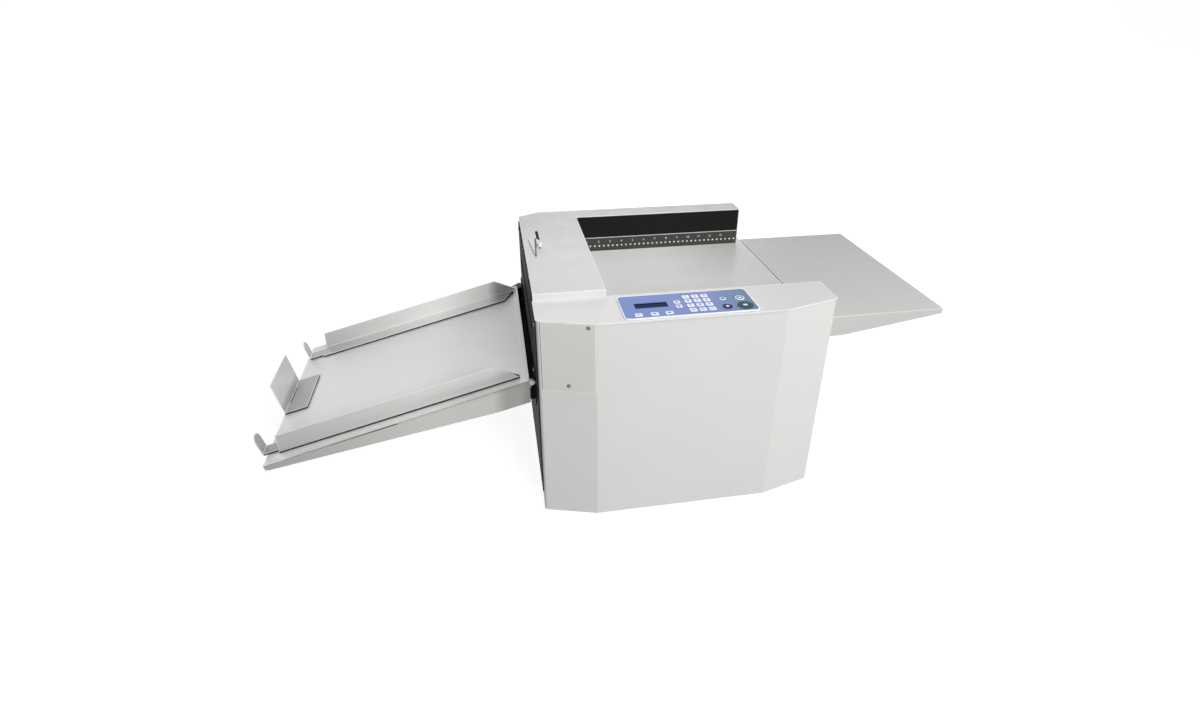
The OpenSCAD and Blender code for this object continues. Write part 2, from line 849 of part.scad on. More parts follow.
// Shaft with its gear in front and rubber sleeves between the frames
module feed_roller(p, front, phase) {
    rod_y(shaft_r, front, shaft_back + collar_t, p[0], p[1]);
    rod_y(hub_r, shaft_back, shaft_back + collar_t, p[0], p[1]);
    translate([p[0], 0, p[1]]) plate_xz(gear_outline(gear_teeth, phase), gear_y[0], gear_y[1]);
    for (y = sleeve_y) rod_y(roller_r, y, y + sleeve_w, p[0], p[1]);
}

module infeed_drive_roller() {
    color("darkslategray") feed_roller(nip_axes[1], shaft_front, 180 / gear_teeth);
}

module outfeed_drive_roller() {
    color("darkslategray") feed_roller(nip_axes[0], pinch_front, 180 / gear_teeth);
}

module infeed_pinch_roller() {
    color("darkslategray") feed_roller(nip_axes[3], pinch_front, 0);
}

module outfeed_pinch_roller() {
    color("darkslategray") feed_roller(nip_axes[2], pinch_front, 0);
}

module idler_gear() {
    color("goldenrod") translate([knife_x, 0, low_z]) difference() {
        plate_xz(gear_outline(idler_teeth, 0), gear_y[0], gear_y[1]);
        rod_y(shaft_r + run_clear, gear_y[0] - 1, gear_y[1] + 1, 0, 0);
    }
}

// Carriage under the bridge, its knob over the slot, and the flat flag that points to the front
flag_z = bridge_top + 0.6;
flag_t = 1.5;
flag = [[-19.3, 39], [-8.1, 47], [4, 27], [4, -5], [-7.2, -5], [-9.7, -51], [-12.3, -42]];
module nip_slider() {
    mid_x = (slot_x[0] + slot_x[1]) / 2;
    color("silver") {
        block(
            [channel_x[0] + channel_t + 0.3, lever_y - 7, bridge_under - carriage_t - 0.3],
            [channel_x[1] - channel_t - 0.3, lever_y + 7, bridge_under - 0.3]
        );
        block([mid_x - 2, lever_y - 4, bridge_under - 1], [mid_x + 2, lever_y + 4, flag_z + 1]);
        rod_z(4, mid_x, lever_y, flag_z, flag_z + 7.4);
        translate([mid_x, lever_y, 0]) plate_xy(flag, flag_z, flag_z + flag_t);
    }
}

module power_supply() {
    color("silver") translate([body_w / 2 + 98, inner_y[1] - 25, base_top]) {
        block([0, -160, 0], [98, 0, 38]);
        block([4, -170, 0], [94, -159, 16]);
    }
}

module main_board() {
    color("green") translate([body_w / 2 - 30, inner_y[0] + 15, base_top]) {
        block([0, 0, 8], [120, 160, 8 + board_t]);
        for (x = [6, 114], y = [6, 154]) rod_z(switch_r, x, y, 0, 9);
        block([20, 20, 9], [50, 60, 34]);
        block([70, 90, 9], [95, 115, 14]);
        for (y = [20, 45, 70]) rod_z(8, 90, y, 9, 32);
        for (y = [85, 105, 125]) block([8, y, 9], [20, y + 14, 19]);
    }
}

// Socket with its three blades, and the opening that holds the rocker
module power_inlet() {
    px = (power_x[0] + power_x[1]) / 2;
    color("black") {
        difference() {
            union() {
                block([power_x[0], body_d, power_z[0]], [power_x[1], body_d + sheet, power_z[1]]);
                block(
                    [power_x[0] + 4, body_d - 24, power_z[0] + 4],
                    [power_x[1] - 4, body_d + 1, power_z[1] - 4]
                );
            }
            plate_xz([
                [px - 12.2, socket_z - 8.2],
                [px + 12.2, socket_z - 8.2],
                [px + 12.2, socket_z + 3],
                [px + 7, socket_z + 8.2],
                [px - 7, socket_z + 8.2],
                [px - 12.2, socket_z + 3]
            ], body_d - 16, body_d + 2);
            block([px - 11, rocker_y - 13, rocker_z - 8.5], [px + 11, body_d + 2, rocker_z + 8.5]);
            rod_x(1.5 + run_clear, px - 13, px + 13, rocker_y, rocker_z);
        }
    }
    color("silver") for (p = [[-7, -2], [0, 2], [7, -2]]) {
        block(
            [px + p[0] - 1, body_d - 16, socket_z + p[1] - 2],
            [px + p[0] + 1, body_d - 3.5, socket_z + p[1] + 2]
        );
    }
}

module power_rocker() {
    px = (power_x[0] + power_x[1]) / 2;
    color("dimgray") translate([0, rocker_y, rocker_z]) rotate([-rocker_tilt, 0, 0]) {
        plate_yz([
            [-7, -2.5],
            [-7, 2.5],
            [0, 6],
            [6.3, 7],
            [4.6, 0],
            [6.3, -7],
            [0, -6]
        ], px - 10.6, px + 10.6);
        rod_x(1.5, px - 12.7, px + 12.7, 0, 0);
    }
}

// Pan with side walls that turn on the hinge pins, a folded nose and an end wall towards the body
module delivery_tray() {
    color("gainsboro") difference() {
        union() {
            on_tray() {
                block([-tray_len, tray_y[0], -sheet], [0, tray_y[1], 0]);
                block([-nose_w, tray_y[0], -sheet], [0, tray_y[1], sheet]);
                block([-tray_len, tray_y[0], -wall_shallow], [sheet - tray_len, tray_y[1], 0]);
                for (y = [tray_y[0], tray_y[1] - sheet]) {
                    plate_xz([
                        [0, 0],
                        [-tray_len, 0],
                        [-tray_len, -wall_shallow + 5],
                        [-tray_len + 5, -wall_shallow],
                        [-wall_run, -end_wall],
                        [-tip_drop, -end_wall]
                    ], y, y + sheet);
                }
                plate_xz([
                    [0, 0],
                    [-sheet, 0],
                    [-sheet - tip_drop, -end_wall],
                    [-tip_drop, -end_wall]
                ], tray_y[0], tray_y[1]);
            }
            both_sides() {
                rod_y(ear_r, tray_y[0], tray_y[0] + sheet, pivot[0], pivot[1]);
                plate_xz([
                    [pivot[0], pivot[1] + ear_r],
                    [tray_x - 22, tray_z - 6.1],
                    [tray_x - 22, tray_z - 20],
                    [tray_x - 1, tray_z - 14],
                    [pivot[0], pivot[1] - ear_r]
                ], tray_y[0], tray_y[0] + sheet);
            }
        }
        both_sides() {
            rod_y(pin_r + 0.06, tray_y[0] - 1, tray_y[0] + sheet + 1, pivot[0], pivot[1]);
            rod_y(ear_r + 0.6, tray_y[0] + sheet, ear_y + ear_t + 2, pivot[0], pivot[1]);
        }
    }
}

// One folded black bracket: two plates with ears, and the rail between them. A pin in each ear.
module tray_brackets() {
    far_end = tray_y[0] + tray_y[1] - ear_y;
    color("black") {
        difference() {
            union() {
                both_sides() {
                    block([bracket_x[0], ear_y, rail_z - 14], [bracket_x[1], ear_y + 30, tray_z + 20]);
                    rod_y(ear_r, ear_y, ear_y + ear_t, pivot[0], pivot[1]);
                    block([pivot[0], ear_y, pivot[1]], [bracket_x[1], ear_y + ear_t, pivot[1] + ear_r]);
                    block([tray_x + 0.4, ear_y, rail_z - 2], [bracket_x[1], ear_y + ear_t, pivot[1] + 0.1]);
                }
                block([bracket_x[0], ear_y, rail_z - 7], [bracket_x[1], far_end, rail_z]);
                block([tray_x + 0.05, ear_y, rail_z - 2], [bracket_x[1], far_end, rail_z]);
            }
            both_sides() rod_y(pin_r + run_clear, ear_y - 1, ear_y + ear_t + 1, pivot[0], pivot[1]);
            for (p = bracket_screws) {
                rod_x(screw_r + run_clear, bracket_x[0] - 1, bracket_x[1] + 1, p[0], p[1]);
            }
        }
        both_sides() {
            rod_y(pin_r, tray_y[0] - 0.5, ear_y + ear_t + 0.5, pivot[0], pivot[1]);
            rod_y(4.5, tray_y[0] - 1.6, tray_y[0] - 0.1, pivot[0], pivot[1]);
            rod_y(4.5, ear_y + ear_t + 0.1, ear_y + ear_t + 1.4, pivot[0], pivot[1]);
        }
    }
}

// Folded guide on a magnetic pad. The foot lies on the inner side of the wall and runs out to a
// rounded finger tab at the low end.
module side_guide(shift) {
    low = guide_low + shift;
    high = guide_high + shift;
    foot = [[low, 0], [high - 6, 0], [high - 29, guide_foot], [low, guide_foot]];
    pad_high = min(high, -nose_w - 1);
    plate_xz([
        [low, pad_t],
        [high, pad_t],
        [high - 8.6, pad_t + 9.7],
        [high - 39.5, guide_top],
        [low + 9, guide_top]
    ], 0, sheet);
    plate_xy(foot, pad_t, pad_t + sheet);
    block([low - tab_reach, tab_y[0], pad_t], [low + 1, tab_y[1], pad_t + sheet]);
    difference() {
        translate([low - tab_reach, 0, 0]) plate_yz(
            rounded(box_outline([tab_y[0], pad_t - 20], [tab_y[1], pad_t + tab_h]), 12),
            0,
            sheet
        );
        block([low - tab_reach - 1, -1, -40], [low, guide_foot, pad_t]);
    }
    plate_xy([
        [low, 0],
        [pad_high, 0],
        [pad_high, 8],
        [high - 29, guide_foot],
        [low, guide_foot]
    ], pad_gap, pad_t);
    block([low - tab_reach + sheet, tab_y[0], pad_gap], [low + 1, tab_y[1], pad_t]);
}

module near_guide() {
    color("gainsboro") on_tray() translate([0, near_y, 0]) side_guide(0);
}

module far_guide() {
    color("gainsboro") on_tray() translate([0, far_y, 0]) mirror([0, 1, 0]) side_guide(far_shift);
}

// Folded stop. A short slot beside its bend shows the pad under the foot.
module stop_plate() {
    y0 = tray_mid + 4.5 - stop_w / 2;
    y1 = y0 + stop_w;
    color("gainsboro") on_tray() {
        plate_xz([
            [stop_x, pad_t],
            [stop_x + sheet, pad_t],
            [stop_x + sheet + stop_lean, pad_t + stop_h],
            [stop_x + stop_lean, pad_t + stop_h]
        ], y0, y1);
        difference() {
            block([stop_x, y0, pad_t], [stop_x + stop_foot, y1, pad_t + sheet]);
            block([stop_x + 2.6, y0 + 33, pad_t - 1], [stop_x + 6, y1 - 26, pad_t + sheet + 1]);
        }
        block([stop_x, y0, pad_gap], [stop_x + stop_foot, y1, pad_t]);
    }
}

translate(-origin) {
    base_plate();
    feet();
    front_frame();
    rear_frame();
    tie_bars();
    front_cover();
    console_lid();
    inspection_plate();
    bridge_cover();
    rear_fence();
    scale_strip();
    rear_cover();
    left_panel();
    infeed_table();
    extension_table();
    case_screws();
    control_overlay();
    display_module();
    frame_bearings();
    crease_beam();
    crease_knife();
    matrix_bar();
    camshaft();
    drive_motors();
    infeed_drive_roller();
    outfeed_drive_roller();
    infeed_pinch_roller();
    outfeed_pinch_roller();
    idler_gear();
    nip_slider();
    power_supply();
    main_board();
    power_inlet();
    power_rocker();
    delivery_tray();
    tray_brackets();
    near_guide();
    far_guide();
    stop_plate();
    for (k = KEYS) key(k);
}
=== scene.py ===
import json
import math

import bmesh
import bpy
import numpy as np
from mathutils import Matrix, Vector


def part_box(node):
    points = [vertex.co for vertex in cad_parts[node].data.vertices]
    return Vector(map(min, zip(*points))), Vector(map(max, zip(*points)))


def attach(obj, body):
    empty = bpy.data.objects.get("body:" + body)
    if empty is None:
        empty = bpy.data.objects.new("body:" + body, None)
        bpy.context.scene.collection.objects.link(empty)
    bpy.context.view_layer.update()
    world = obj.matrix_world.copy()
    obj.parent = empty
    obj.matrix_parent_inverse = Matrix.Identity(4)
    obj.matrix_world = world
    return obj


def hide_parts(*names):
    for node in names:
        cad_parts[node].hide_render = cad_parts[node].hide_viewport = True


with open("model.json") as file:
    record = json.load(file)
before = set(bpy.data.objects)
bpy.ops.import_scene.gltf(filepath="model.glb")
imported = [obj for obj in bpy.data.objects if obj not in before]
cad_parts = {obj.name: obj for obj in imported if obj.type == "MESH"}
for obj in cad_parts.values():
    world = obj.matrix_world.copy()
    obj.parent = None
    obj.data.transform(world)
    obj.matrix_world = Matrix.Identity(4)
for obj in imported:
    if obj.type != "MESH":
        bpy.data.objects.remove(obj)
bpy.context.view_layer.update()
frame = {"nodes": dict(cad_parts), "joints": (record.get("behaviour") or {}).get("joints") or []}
parts = frame["nodes"]

# Camera
# The photograph was taken from in front and above, a little left of the keypad. The values come
# from a fit to the corners of the body, in the frame's metres and in pixels of a 1200 x 720 image.
image_w, image_h = 1200, 720
focal_px = 674.9
centre_px = (614.2, 326.8)
pitch, yaw, roll = (math.radians(a) for a in (27.85, 10.56, -0.57))
camera_at = (-0.185242, -1.1708, 0.8802)

ahead = np.array([
    math.sin(yaw) * math.cos(pitch),
    math.cos(yaw) * math.cos(pitch),
    -math.sin(pitch),
])
level = np.array([math.cos(yaw), -math.sin(yaw), 0.0])
down = np.cross(ahead, level)
right = math.cos(roll) * level + math.sin(roll) * down
below = math.cos(roll) * down - math.sin(roll) * level
turn = Matrix(np.column_stack([right, -below, -ahead]).tolist()).to_4x4()

lens = bpy.data.cameras.new("studio_camera")
lens.sensor_width = 36
lens.lens = focal_px * lens.sensor_width / image_w
lens.shift_x = (image_w / 2 - centre_px[0]) / image_w
lens.shift_y = (centre_px[1] - image_h / 2) / image_w
lens.clip_start, lens.clip_end = 0.05, 60
camera = bpy.data.objects.new("studio_camera", lens)
camera.matrix_world = Matrix.Translation(camera_at) @ turn
bpy.context.scene.collection.objects.link(camera)
bpy.context.scene.camera = camera
bpy.context.scene.view_settings.view_transform = "Standard"


# Bench and light
# The machine stands on a white paper sweep. A large soft box in front lights the covers evenly, a
# smaller one from the upper right throws the body's shadow on the right end of the tray, and a low
# one behind lights the back.
def add_node(tree, kind, links=None, **values):
    """A shader node. links maps an input's name or number to a socket or to a plain value."""
    made = tree.nodes.new("ShaderNode" + kind)
    for key, value in values.items():
        setattr(made, key, value)
    for key, value in (links or {}).items():
        if isinstance(value, bpy.types.NodeSocket):
            tree.links.new(value, made.inputs[key])
        else:
            made.inputs[key].default_value = value
    return made


def calc(tree, operation, *values):
    """The result of a Math node."""
    return add_node(tree, "Math", dict(enumerate(values)), operation=operation).outputs[0]


def vector(tree, operation, *values):
    """The result of a VectorMath node: a number for LENGTH and DOT_PRODUCT, else a vector."""
    made = add_node(tree, "VectorMath", dict(enumerate(values)), operation=operation)
    return made.outputs["Value" if operation in ("LENGTH", "DOT_PRODUCT") else "Vector"]


def object_point(tree):
    """The point in the piece's own coordinates, which every pattern here reads."""
    return add_node(tree, "TexCoord").outputs["Object"]


def grid_mesh(name, points, closed_v=False):
    """The surface through points[i, j], a grid of quads, its columns closed on demand."""
    nu, nv = points.shape[:2]
    i, j = np.meshgrid(np.arange(nu - 1), np.arange(nv if closed_v else nv - 1), indexing="ij")
    i1, j1 = i + 1, (j + 1) % nv
    quads = np.stack([i * nv + j, i1 * nv + j, i1 * nv + j1, i * nv + j1], axis=-1).reshape(-1, 4)
    mesh = bpy.data.meshes.new(name)
    mesh.from_pydata(points.reshape(-1, 3).tolist(), [], quads.tolist())
    mesh.update()
    return mesh


def place(name, mesh, finish):
    """Shows a mesh as an object at the origin with one finish."""
    made = bpy.data.objects.new(name, mesh)
    made.data.materials.append(finish)
    bpy.context.scene.collection.objects.link(made)
    return made


def shows_white(tree):
    """1 for a ray that shows the background: from the camera, a reflection or through glass."""
    ray = add_node(tree, "LightPath").outputs
    direct = calc(tree, "MAXIMUM", ray["Is Camera Ray"], ray["Is Glossy Ray"])
    return calc(tree, "MAXIMUM", direct, ray["Is Transmission Ray"])


# The sweep's glow falls a little towards the machine, so that its shadow shows.
sweep_tone = (0.36, 0.36, 0.36, 1)
glow_near, glow_far = (0.7, 0.84), (2.4, 1.0)
paper = bpy.data.materials.new("paper_sweep")
paper.use_nodes = True
tree = paper.node_tree
tree.nodes.clear()
matt = add_node(tree, "BsdfDiffuse", {"Color": sweep_tone}).outputs[0]
reach = vector(tree, "LENGTH", object_point(tree))
strength = add_node(tree, "MapRange", {
    0: reach, 1: glow_near[0], 2: glow_far[0], 3: glow_near[1], 4: glow_far[1],
}).outputs[0]
glow = add_node(tree, "Emission", {"Color": (1, 1, 1, 1), "Strength": strength}).outputs[0]
both = add_node(tree, "AddShader", {0: matt, 1: glow}).outputs[0]
mixed = add_node(tree, "MixShader", {0: shows_white(tree), 1: matt, 2: both}).outputs[0]
add_node(tree, "OutputMaterial", {0: mixed})

# A flat floor, a quarter round of sweep_r and a wall, drawn out along X.
sweep_half, sweep_front, sweep_back, sweep_rise, sweep_r = 9.0, -6.0, 7.0, 7.0, 2.0
along = np.linspace(0, 1, 61)
flat = np.stack([np.linspace(sweep_front, sweep_back, 30), np.zeros(30)], axis=1)
bend = np.stack([
    sweep_back + sweep_r * np.sin(along * math.pi / 2),
    sweep_r * (1 - np.cos(along * math.pi / 2)),
], axis=1)
wall = np.stack([np.full(20, sweep_back + sweep_r), np.linspace(sweep_r, sweep_rise, 20)], axis=1)
profile = np.concatenate([flat, bend[1:], wall[1:]])
across = np.linspace(-sweep_half, sweep_half, 12)
sweep = np.zeros((12, len(profile), 3))
sweep[:, :, 0] = across[:, None]
sweep[:, :, 1] = profile[None, :, 0]
sweep[:, :, 2] = profile[None, :, 1]
bench = place("bench", grid_mesh("bench", sweep), paper)
bench.data.polygons.foreach_set("use_smooth", np.ones(len(bench.data.polygons), bool))

fill_tone, fill_strength = (0.98, 0.985, 1.0, 1), 0.21
room = bpy.data.worlds.new("studio")
bpy.context.scene.world = room
room.use_nodes = True
tree = room.node_tree
tree.nodes.clear()
fill = add_node(tree, "Background", {"Color": fill_tone, "Strength": fill_strength}).outputs[0]
white = add_node(tree, "Background", {"Color": (1, 1, 1, 1), "Strength": 1.0}).outputs[0]
mixed = add_node(tree, "MixShader", {0: shows_white(tree), 1: fill, 2: white}).outputs[0]
add_node(tree, "OutputWorld", {0: mixed})


def soft_box(name, at, aim, size, watts):
    """A square area lamp at a point, turned towards another."""
    lamp = bpy.data.lights.new(name, "AREA")
    lamp.size = size
    lamp.energy = watts
    made = bpy.data.objects.new(name, lamp)
    bpy.context.scene.collection.objects.link(made)
    away = np.array(at, float) - np.array(aim, float)
    back = away / np.linalg.norm(away)
    side = np.cross([0, 0, 1.0], back)
    side = side / np.linalg.norm(side)
    up = np.cross(back, side)
    facing = Matrix(np.column_stack([side, up, back]).tolist()).to_4x4()
    made.matrix_world = Matrix.Translation(at) @ facing
    return made


# The front box is kept out of reflections: seen from behind, it would turn the tray clipped white.
front_box = soft_box("front_box", (0.73, -2.95, 2.21), (0.1, 0, 0.25), 1.4, 93)
front_box.visible_glossy = False
soft_box("front_left_box", (-2.2, -2.0, 1.6), (0, 0, 0.2), 1.6, 1)
soft_box("right_box", (1.35, -0.85, 2.2), (0, 0, 0.25), 0.5, 21)
soft_box("back_box", (0.6, 3.0, 1.0), (0, 0, 0.2), 1.8, 22)


# Base plate and feet
# A plated steel plate closes the bottom and carries four moulded rubber feet; it is stamped,
# plated and never painted, so it keeps a faint milky grain.
def new_finish(name):
    """A material, its node tree, its shader and the point that its patterns read."""
    finish = bpy.data.materials.new(name)
    finish.use_nodes = True
    tree = finish.node_tree
    tree.nodes.clear()
    shader = add_node(tree, "BsdfPrincipled")
    add_node(tree, "OutputMaterial", {0: shader.outputs[0]})
    return finish, tree, shader, object_point(tree)


def wire(tree, shader, tone, rough=None):
    """Links a finish's colour, and its roughness where that varies, to the shader."""
    tree.links.new(tone, shader.inputs["Base Color"])
    if rough is not None:
        tree.links.new(rough, shader.inputs["Roughness"])


def noise(tree, where, per_metre, detail=3.0, stretch=(1, 1, 1)):
    """Noise with that many cells in a metre, stretched along chosen axes."""
    spot = add_node(tree, "Mapping", {"Vector": where, "Scale": stretch})
    return add_node(
        tree, "TexNoise", {"Vector": spot.outputs[0], "Scale": per_metre, "Detail": detail}
    ).outputs["Fac"]


def ramp(tree, value, low, high, to_low=0.0, to_high=1.0):
    """Takes value from low..high to to_low..to_high, clamped."""
    return add_node(
        tree, "MapRange", {0: value, 1: low, 2: high, 3: to_low, 4: to_high}
    ).outputs[0]


def shade(tone, factor, lift=0.0):
    """A tone made darker or lighter by a factor and raised by lift."""
    return [min(1, c * factor + lift) for c in tone]


def mix_tone(tree, share, tone_a, tone_b):
    """A colour between two, by share."""
    both = add_node(tree, "Mix", data_type="RGBA")
    for number, value in ((0, share), (6, tone_a), (7, tone_b)):
        if isinstance(value, bpy.types.NodeSocket):
            tree.links.new(value, both.inputs[number])
        else:
            both.inputs[number].default_value = value if number == 0 else (*value, 1)
    return both.outputs[2]


def edge_share(tree, radius, start=0.02, end=0.25):
    """1 on an outer or inner edge, 0 on a flat: how far a rounded normal leaves the true one."""
    soft = add_node(tree, "Bevel", {"Radius": radius}, samples=4).outputs[0]
    true = add_node(tree, "NewGeometry").outputs["Normal"]
    return ramp(tree, vector(tree, "DOT_PRODUCT", soft, true), 1 - start, 1 - end, 0.0, 1.0)


def bumped(tree, shader, height, strength, depth):
    """Raises the surface by height times depth metres."""
    raised = add_node(tree, "Bump", {"Height": height, "Strength": strength, "Distance": depth})
    tree.links.new(raised.outputs[0], shader.inputs["Normal"])


def metal_finish(name, tone, rough, grain, stretch, wear_and_glint_tone):
    """Bare or plated metal: streaks along the working direction, cloudy tone, bright edges."""
    finish, tree, shader, where = new_finish(name)
    streak = noise(tree, where, grain, 4, stretch)
    cloud = noise(tree, where, 14, 3)
    body = mix_tone(tree, ramp(tree, cloud, 0.3, 0.7), shade(tone, 0.92), tone)
    body = mix_tone(tree, ramp(tree, streak, 0.3, 0.8, 0, 0.35), body, shade(tone, 1.12))
    wear_and_glint = mix_tone(tree, edge_share(tree, 0.0008), body, wear_and_glint_tone)
    wire(tree, shader, wear_and_glint, ramp(tree, streak, 0.2, 0.8, rough - 0.07, rough + 0.08))
    shader.inputs["Metallic"].default_value = 1.0
    bumped(tree, shader, streak, 0.25, 0.00004)
    return finish


def rubber_finish(name, tone, rough, grain=1500.0):
    """Rubber: a fine matt grain under a thin patchy dust."""
    finish, tree, shader, where = new_finish(name)
    fine = noise(tree, where, grain, 2)
    dust = noise(tree, where, 60, 4)
    body = mix_tone(tree, ramp(tree, dust, 0.35, 0.75), tone, shade(tone, 1.6, 0.012))
    wire(tree, shader, body, ramp(tree, fine, 0.3, 0.7, rough - 0.06, rough + 0.06))
    bumped(tree, shader, fine, 0.35, 0.00008)
    return finish


def dress(finish, *names):
    """Gives CAD nodes their finish through their own material slots."""
    for name in names:
        holder = parts[name]
        if not holder.material_slots:
            holder.data.materials.append(finish)
        for held in holder.material_slots:
            held.material = finish


plated = metal_finish("zinc_plating", (0.60, 0.61, 0.63), 0.42, 90, (1, 1, 1), (0.75, 0.75, 0.76))
dress(plated, "base_plate")
dress(rubber_finish("foot_rubber", (0.028, 0.028, 0.028), 0.82), "feet")

# Side frames, tie bars and bearings
# Two laser-cut plates stand on the base and are held apart by turned bars; flanged ball bearings
# are pushed in from between them. All of it shows only through the paper mouths.
dress(plated, "front_frame", "rear_frame")
turned = metal_finish(
    "turned_steel", (0.66, 0.66, 0.67), 0.3, 260, (1, 0.05, 1), (0.85, 0.85, 0.85)
)
dress(turned, "tie_bars", "frame_bearings", "camshaft")

# Crease unit
# A ground knife is bolted into a milled beam under the bed, and a grooved bar above it takes the
# fold. The beam and the bar are milled along Y, so their grain runs that way.
milled = metal_finish("milled_steel", (0.52, 0.53, 0.55), 0.34, 400, (1, 0.03, 1), (0.8, 0.8, 0.8))
dress(milled, "crease_beam", "matrix_bar")
dress(turned, "crease_knife")

# Feed rollers and idler
# Each roller is a turned shaft with five ground rubber sleeves and a moulded gear. The sleeves
# are told from the steel by how far a point is from the shaft's own axis.
shaft_r = 0.0075
gear_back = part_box("idler_gear")[1][1] + 0.0005
nylon_tone = (0.62, 0.58, 0.46)


def roller_finish(name, axis_x, axis_z):
    """Steel inside the shaft's radius; outside it gear plastic in front and rubber behind."""
    finish, tree, shader, where = new_finish(name)
    at = add_node(tree, "SeparateXYZ", {0: where}).outputs
    dx = calc(tree, "SUBTRACT", at[0], axis_x)
    dz = calc(tree, "SUBTRACT", at[2], axis_z)
    off_axis = add_node(tree, "CombineXYZ", {0: dx, 1: dz}).outputs[0]
    sleeve = calc(tree, "GREATER_THAN", vector(tree, "LENGTH", off_axis), shaft_r)
    gear = calc(tree, "LESS_THAN", at[1], gear_back)
    fine = noise(tree, where, 1400, 2)
    streak = noise(tree, where, 300, 3, (1, 0.05, 1))
    steel = mix_tone(tree, streak, (0.55, 0.55, 0.56), (0.72, 0.72, 0.73))
    rubber = mix_tone(tree, fine, (0.03, 0.03, 0.032), (0.05, 0.05, 0.052))
    outer = mix_tone(tree, gear, rubber, nylon_tone)
    body = mix_tone(tree, sleeve, steel, outer)
    wire(tree, shader, body, ramp(tree, sleeve, 0, 1, 0.3, 0.7))
    tree.links.new(calc(tree, "SUBTRACT", 1.0, sleeve), shader.inputs["Metallic"])
    bumped(tree, shader, fine, 0.3, 0.00005)
    return finish


for node in (
    "infeed_drive_roller", "outfeed_drive_roller", "infeed_pinch_roller", "outfeed_pinch_roller"
):
    low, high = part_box(node)
    dress(roller_finish(node + "_skin", (low[0] + high[0]) / 2, (low[2] + high[2]) / 2), node)


def moulded_finish(name, tone, rough=0.5, spark=1100.0, gloss=0.5):
    """Moulded plastic: spark-eroded grain, a slow change of tone, edges paler: polished by handling
    and a painted highlight.
    """
    finish, tree, shader, where = new_finish(name)
    fine = noise(tree, where, spark, 2)
    slow = noise(tree, where, 25, 2)
    body = mix_tone(tree, ramp(tree, slow, 0.3, 0.7), shade(tone, 0.94), tone)
    # Edges painted paler: handling polish and a painted highlight.
    lit = mix_tone(tree, edge_share(tree, 0.0006), body, shade(tone, 1.25, 0.02))
    wire(tree, shader, lit, ramp(tree, fine, 0.3, 0.7, rough - 0.05, rough + 0.07))
    shader.inputs["Specular IOR Level"].default_value = gloss
    bumped(tree, shader, fine, 0.3, 0.00004)
    return finish


dress(moulded_finish("gear_nylon", nylon_tone, 0.45), "idler_gear")

# Drives and electronics
# Two black motors hang in front of the frame; the power supply and the main board lie on the
# base plate. None of it shows from outside.
dress(moulded_finish("motor_enamel", (0.035, 0.035, 0.04), 0.4), "drive_motors")
dress(plated, "power_supply")
dress(moulded_finish("board_lacquer", (0.03, 0.16, 0.07), 0.35, 500), "main_board")


# Outer covers
# Light warm-grey powder coat on folded 1.5 mm steel: a fine orange peel and edges rolled by the
# press brake. The edges are painted paler, a little for rubbing by hands and mostly as a painted
# highlight on the bends. Each sheet is a merged copy of its node with its corners rolled.
def coat_finish(
    name, tone, rough=0.48, peel=0.18, wear_and_highlight=1.0, gloss=0.3, metal=0.0, edge_tone=None, drift=()
):
    """Powder coat: orange peel a millimetre wide, faint marks, paler edges: wear and a painted
    highlight.

    drift is a row of (axis, from, to, tone there): along each axis the tone changes to that one.
    """
    finish, tree, shader, where = new_finish(name)
    skin = noise(tree, where, 850, 3)
    slow = noise(tree, where, 4, 2)
    mark = noise(tree, where, 40, 5)
    body = drifted(tree, tone, drift)
    dusk = shade(tone, 0.9)
    body = mix_tone(tree, ramp(tree, slow, 0.3, 0.7, 0.35, 0), body, dusk)
    body = mix_tone(tree, ramp(tree, mark, 0.62, 0.8, 0, 0.25), body, dusk)
    # Outer and inner edges painted paler: partly rubbed, mostly a painted highlight.
    edge = ramp(tree, edge_share(tree, 0.003, 0.01, 0.10), 0, 1, 0, wear_and_highlight)
    lit = mix_tone(tree, edge, body, edge_tone or shade(tone, 1.32, 0.02))
    wire(tree, shader, lit, ramp(tree, mark, 0.3, 0.8, rough - 0.06, rough + 0.08))
    shader.inputs["Specular IOR Level"].default_value = gloss
    shader.inputs["Metallic"].default_value = metal
    bumped(tree, shader, skin, peel, 0.00006)
    return finish


def drifted(tree, tone, drift):
    """A tone that changes along each axis that drift names."""
    for axis, start, end, tone_there in drift:
        at = add_node(tree, "SeparateXYZ", {0: object_point(tree)}).outputs[axis]
        tone = mix_tone(tree, ramp(tree, at, start, end), tone, tone_there)
    return tone


fold_angle = math.radians(32)


def rolled(node, body, finish, radius=0.0005, steps=2):
    """A merged copy of a folded sheet with its sharp corners rolled; it stands for the node."""
    joined = bmesh.new()
    joined.from_mesh(parts[node].data)
    bmesh.ops.remove_doubles(joined, verts=joined.verts, dist=2e-6)
    bmesh.ops.dissolve_limit(
        joined, angle_limit=math.radians(0.5), verts=joined.verts, edges=joined.edges
    )
    bmesh.ops.recalc_face_normals(joined, faces=joined.faces)
    mesh = bpy.data.meshes.new(node + "_skin")
    joined.to_mesh(mesh)
    joined.free()
    mesh.shade_smooth()
    mesh.set_sharp_from_angle(angle=fold_angle)
    made = place(node + "_skin", mesh, finish)
    roll_edge = made.modifiers.new("rolled_edge", "BEVEL")
    roll_edge.width = radius
    roll_edge.segments = steps
    roll_edge.limit_method = "ANGLE"
    roll_edge.angle_limit = fold_angle
    roll_edge.harden_normals = True
    made.modifiers.new("flat_shading", "WEIGHTED_NORMAL").keep_sharp = True
    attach(made, body)
    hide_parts(node)


